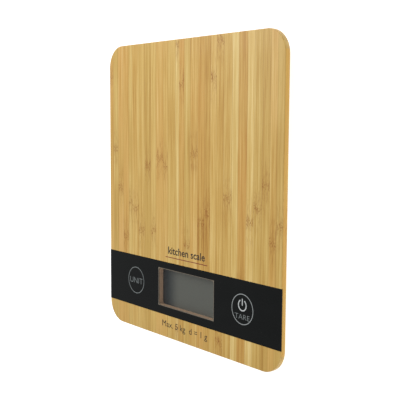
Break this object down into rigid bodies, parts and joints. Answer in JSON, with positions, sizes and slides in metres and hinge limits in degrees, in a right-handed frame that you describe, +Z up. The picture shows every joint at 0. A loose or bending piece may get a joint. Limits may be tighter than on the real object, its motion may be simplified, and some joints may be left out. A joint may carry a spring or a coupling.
{
  "type": "kitchen scale",
  "caption": "Flat rectangular kitchen scale: bamboo platform with rounded corners, black touch-key strip and sunk display, on a shallow plastic housing with sprung feet.",
  "frame": {"origin": "on the supporting surface, under the centre of the platform", "axes": "+Z up, +Y away from the user along the platform's long side, +X to the user's right; the control strip is toward -Y"},
  "size_m": [0.2026, 0.23, 0.02],
  "materials": {
    "bamboo": "satin oiled bamboo, upright strips",
    "panel_black": "gloss black printed acrylic",
    "window_clear": "clear acrylic",
    "lcd_grey": "grey reflective LCD, unlit",
    "housing_white": "fine textured ABS",
    "door_white": "fine textured ABS",
    "frame_white": "moulded ABS",
    "contact_rubber": "conductive rubber",
    "foot_rubber": "soft grey rubber",
    "board_green": "solder mask on glass fibre",
    "epoxy_black": "cast epoxy",
    "copper": "copper foil on board",
    "contact_metal": "nickel plated spring strip",
    "coin_steel": "nickel plated can",
    "load_steel": "stamped spring steel",
    "screw_steel": "zinc plated",
    "gauge_film": "polyimide film",
    "tape_foam": "double-sided foam tape",
    "label": "blank silver-grey label",
    "sleeve_grey": "soft sleeve",
    "sleeve_white": "soft sleeve",
    "sleeve_red": "soft sleeve",
    "sleeve_black": "soft sleeve"
  },
  "bodies": {
    "scale_body": {"bamboo_platform": "bamboo", "control_panel": "panel_black", "display_window": "window_clear", "lcd_glass": "lcd_grey", "lcd_frame": "frame_white", "contact_strip_front": "contact_rubber", "contact_strip_rear": "contact_rubber", "main_board": "board_green", "controller_blob": "epoxy_black", "memory_chip": "epoxy_black", "touch_pad_unit": "copper", "touch_pad_tare": "copper", "touch_wire_unit": "sleeve_white", "touch_wire_tare": "sleeve_white", "upper_tray": "housing_white", "tape_ring": "tape_foam", "base_cover": "housing_white", "rating_label": "label", "coin_cell": "coin_steel", "battery_contact_positive": "contact_metal", "battery_contact_negative": "contact_metal", "battery_wire_red": "sleeve_red", "battery_wire_black": "sleeve_black", "load_cell_front_left": "load_steel", "strain_gauge_front_left": "gauge_film", "load_cell_cable_front_left": "sleeve_grey", "board_screw_front_left": "screw_steel", "load_cell_front_right": "load_steel", "strain_gauge_front_right": "gauge_film", "load_cell_cable_front_right": "sleeve_grey", "board_screw_front_right": "screw_steel", "load_cell_rear_left": "load_steel", "strain_gauge_rear_left": "gauge_film", "load_cell_cable_rear_left": "sleeve_grey", "board_screw_rear_left": "screw_steel", "load_cell_rear_right": "load_steel", "strain_gauge_rear_right": "gauge_film", "load_cell_cable_rear_right": "sleeve_grey", "board_screw_rear_right": "screw_steel", "base_screw_side_front_left": "screw_steel", "base_screw_side_front_right": "screw_steel", "base_screw_side_rear_left": "screw_steel", "base_screw_side_rear_right": "screw_steel", "base_screw_rear_left": "screw_steel", "base_screw_rear_right": "screw_steel"},
    "foot_front_left": {"foot_cap_front_left": "housing_white", "foot_pad_front_left": "foot_rubber"},
    "foot_front_right": {"foot_cap_front_right": "housing_white", "foot_pad_front_right": "foot_rubber"},
    "foot_rear_left": {"foot_cap_rear_left": "housing_white", "foot_pad_rear_left": "foot_rubber"},
    "foot_rear_right": {"foot_cap_rear_right": "housing_white", "foot_pad_rear_right": "foot_rubber"},
    "battery_door": {"battery_door": "door_white"}
  },
  "joints": [
    {"name": "foot_front_left_press", "type": "slide", "parent": "scale_body", "child": "foot_front_left", "axis": [0, 0, 1], "range_m": [0, 0.0005], "stiffness_N_per_m": 41000, "deforming": ["load_cell_front_left"]},
    {"name": "foot_front_right_press", "type": "slide", "parent": "scale_body", "child": "foot_front_right", "axis": [0, 0, 1], "range_m": [0, 0.0005], "stiffness_N_per_m": 41000, "deforming": ["load_cell_front_right"]},
    {"name": "foot_rear_left_press", "type": "slide", "parent": "scale_body", "child": "foot_rear_left", "axis": [0, 0, 1], "range_m": [0, 0.0005], "stiffness_N_per_m": 41000, "deforming": ["load_cell_rear_left"]},
    {"name": "foot_rear_right_press", "type": "slide", "parent": "scale_body", "child": "foot_rear_right", "axis": [0, 0, 1], "range_m": [0, 0.0005], "stiffness_N_per_m": 41000, "deforming": ["load_cell_rear_right"]},
    {"name": "battery_door_hinge", "type": "hinge", "parent": "scale_body", "child": "battery_door", "pos_m": [0, 0.0304, 0.0043], "axis": [1, 0, 0], "range_deg": [0, 80]}
  ]
}
